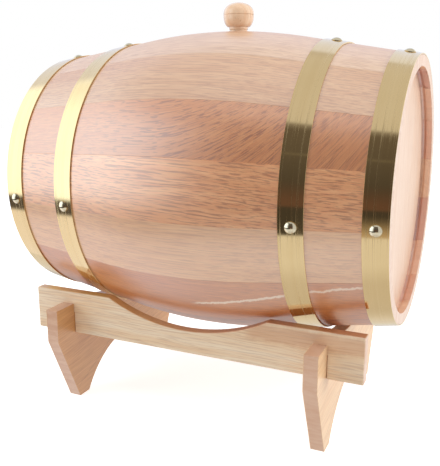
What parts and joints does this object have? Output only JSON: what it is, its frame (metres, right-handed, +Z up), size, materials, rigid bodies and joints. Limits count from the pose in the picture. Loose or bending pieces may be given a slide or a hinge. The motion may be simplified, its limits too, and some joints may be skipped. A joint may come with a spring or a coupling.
{
  "type": "oak cask liquor dispenser",
  "caption": "Small oak cask lying on a slotted wooden stand, with brass hoops, a turned bung in the belly and a wooden tap in one head.",
  "frame": {"origin": "middle of the whole object in plan, on the surface that its feet stand on", "axes": "+X along the cask from the tap end to the plain end, +Y across it, +Z up"},
  "size_m": [0.3886, 0.27, 0.3694],
  "materials": {
    "cask_oak": "sanded, unfinished",
    "head_oak": "planed, unfinished",
    "stand_oak": "sanded, unfinished",
    "dowel_wood": "unfinished",
    "bung_wood": "turned and lacquered",
    "tap_wood": "turned and lacquered",
    "cork": "pressed cork",
    "hoop_brass": "brushed round the hoop",
    "nail_brass": "polished"
  },
  "bodies": {
    "stand": {"near_rail": "stand_oak", "far_rail": "stand_oak", "tap_end_leg_board": "stand_oak", "plain_end_leg_board": "stand_oak"},
    "cask": {"bung_stave": "cask_oak", "stave_02": "cask_oak", "stave_03": "cask_oak", "stave_04": "cask_oak", "stave_05": "cask_oak", "stave_06": "cask_oak", "stave_07": "cask_oak", "stave_08": "cask_oak", "stave_09": "cask_oak", "stave_10": "cask_oak", "stave_11": "cask_oak", "stave_12": "cask_oak", "stave_13": "cask_oak", "stave_14": "cask_oak", "stave_15": "cask_oak", "stave_16": "cask_oak", "tap_head_near_board": "head_oak", "tap_head_middle_board": "head_oak", "tap_head_far_board": "head_oak", "plain_head_near_board": "head_oak", "plain_head_middle_board": "head_oak", "plain_head_far_board": "head_oak", "tap_head_dowels": "dowel_wood", "plain_head_dowels": "dowel_wood", "tap_end_hoop": "hoop_brass", "tap_quarter_hoop": "hoop_brass", "plain_quarter_hoop": "hoop_brass", "plain_end_hoop": "hoop_brass", "tap_end_hoop_nails": "nail_brass", "tap_quarter_hoop_nails": "nail_brass", "plain_quarter_hoop_nails": "nail_brass", "plain_end_hoop_nails": "nail_brass", "tap_body": "tap_wood", "tap_cork": "cork"},
    "bung": {"bung": "bung_wood"},
    "tap_key": {"tap_key": "tap_wood"}
  },
  "joints": [
    {"name": "cask_lift", "type": "slide", "parent": "stand", "child": "cask", "axis": [0, 0, 1], "range_m": [0, 0.15]},
    {"name": "bung_pull", "type": "slide", "parent": "cask", "child": "bung", "axis": [0, 0, 1], "range_m": [0, 0.05]},
    {"name": "tap_key_turn", "type": "hinge", "parent": "cask", "child": "tap_key", "pos_m": [-0.17125, 0, 0.13745], "axis": [0, 0, 1], "continuous": true}
  ]
}
